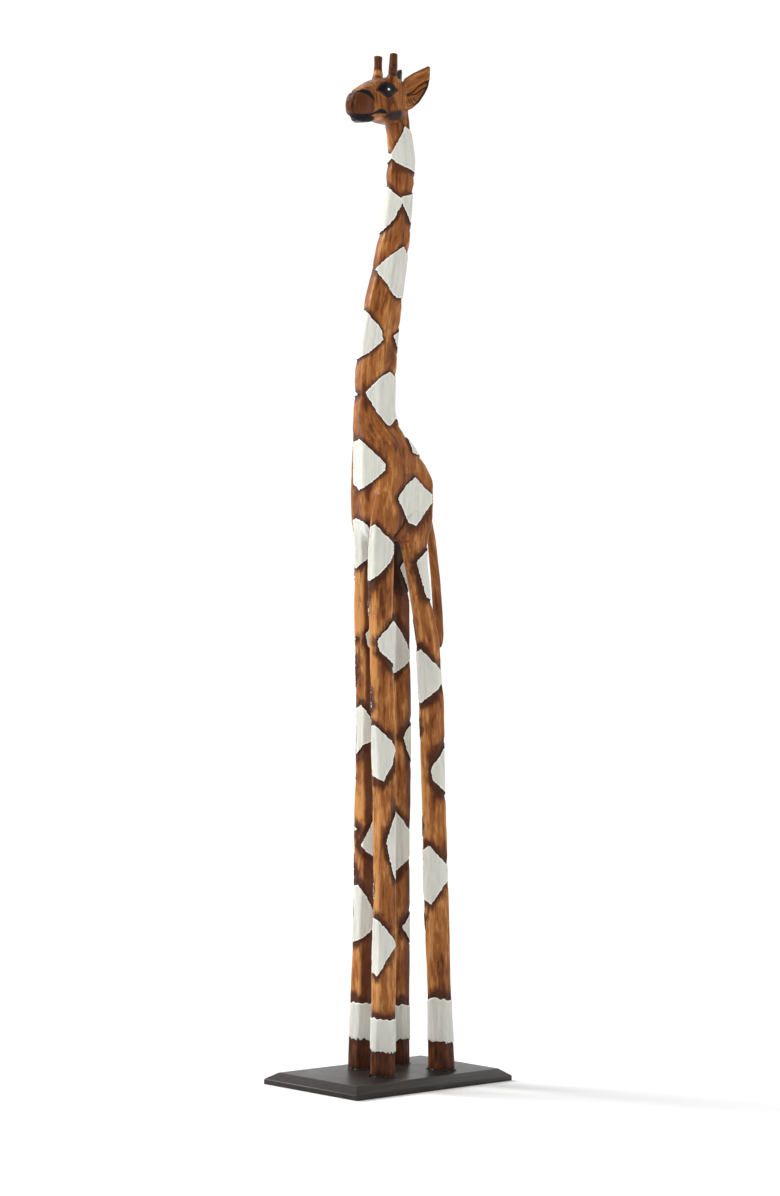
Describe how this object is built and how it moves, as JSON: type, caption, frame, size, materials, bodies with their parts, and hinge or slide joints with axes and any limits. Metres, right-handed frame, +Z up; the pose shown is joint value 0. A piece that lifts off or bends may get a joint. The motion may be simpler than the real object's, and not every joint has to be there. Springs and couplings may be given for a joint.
{
  "type": "carved giraffe statue",
  "caption": "Tall slender giraffe carved in wood with pearl-white patches, upright horns and laid-back ears, standing on a chamfered rectangular plinth.",
  "frame": {"origin": "centre of the plinth's underside, on the surface that the statue stands on", "axes": "+Z up, -X the way the giraffe faces, -Y its left side"},
  "size_m": [0.272, 0.147, 1.194],
  "materials": {
    "carved_wood": "orange-brown stain under satin lacquer, burnt dark round pearl-white patches",
    "dark_stained_wood": "charcoal-brown stain, satin",
    "burnt_wood": "scorched and lacquered",
    "dowel_hardwood": "plain turned hardwood, glued in",
    "gloss_black": "glossy black enamel",
    "zinc_steel": "zinc plated"
  },
  "bodies": {
    "root": {"base_plinth": "dark_stained_wood", "body_neck_head": "carved_wood", "front_leg_left": "carved_wood", "front_leg_right": "carved_wood", "hind_leg_left": "carved_wood", "hind_leg_right": "carved_wood", "front_dowel_left": "dowel_hardwood", "front_dowel_right": "dowel_hardwood", "hind_dowel_left": "dowel_hardwood", "hind_dowel_right": "dowel_hardwood", "tail_dowel": "dowel_hardwood", "tail": "carved_wood", "ear_left": "carved_wood", "ear_right": "carved_wood", "horn_left": "burnt_wood", "horn_right": "burnt_wood", "eye_left": "gloss_black", "eye_right": "gloss_black", "foot_screws": "zinc_steel"}
  },
  "joints": []
}
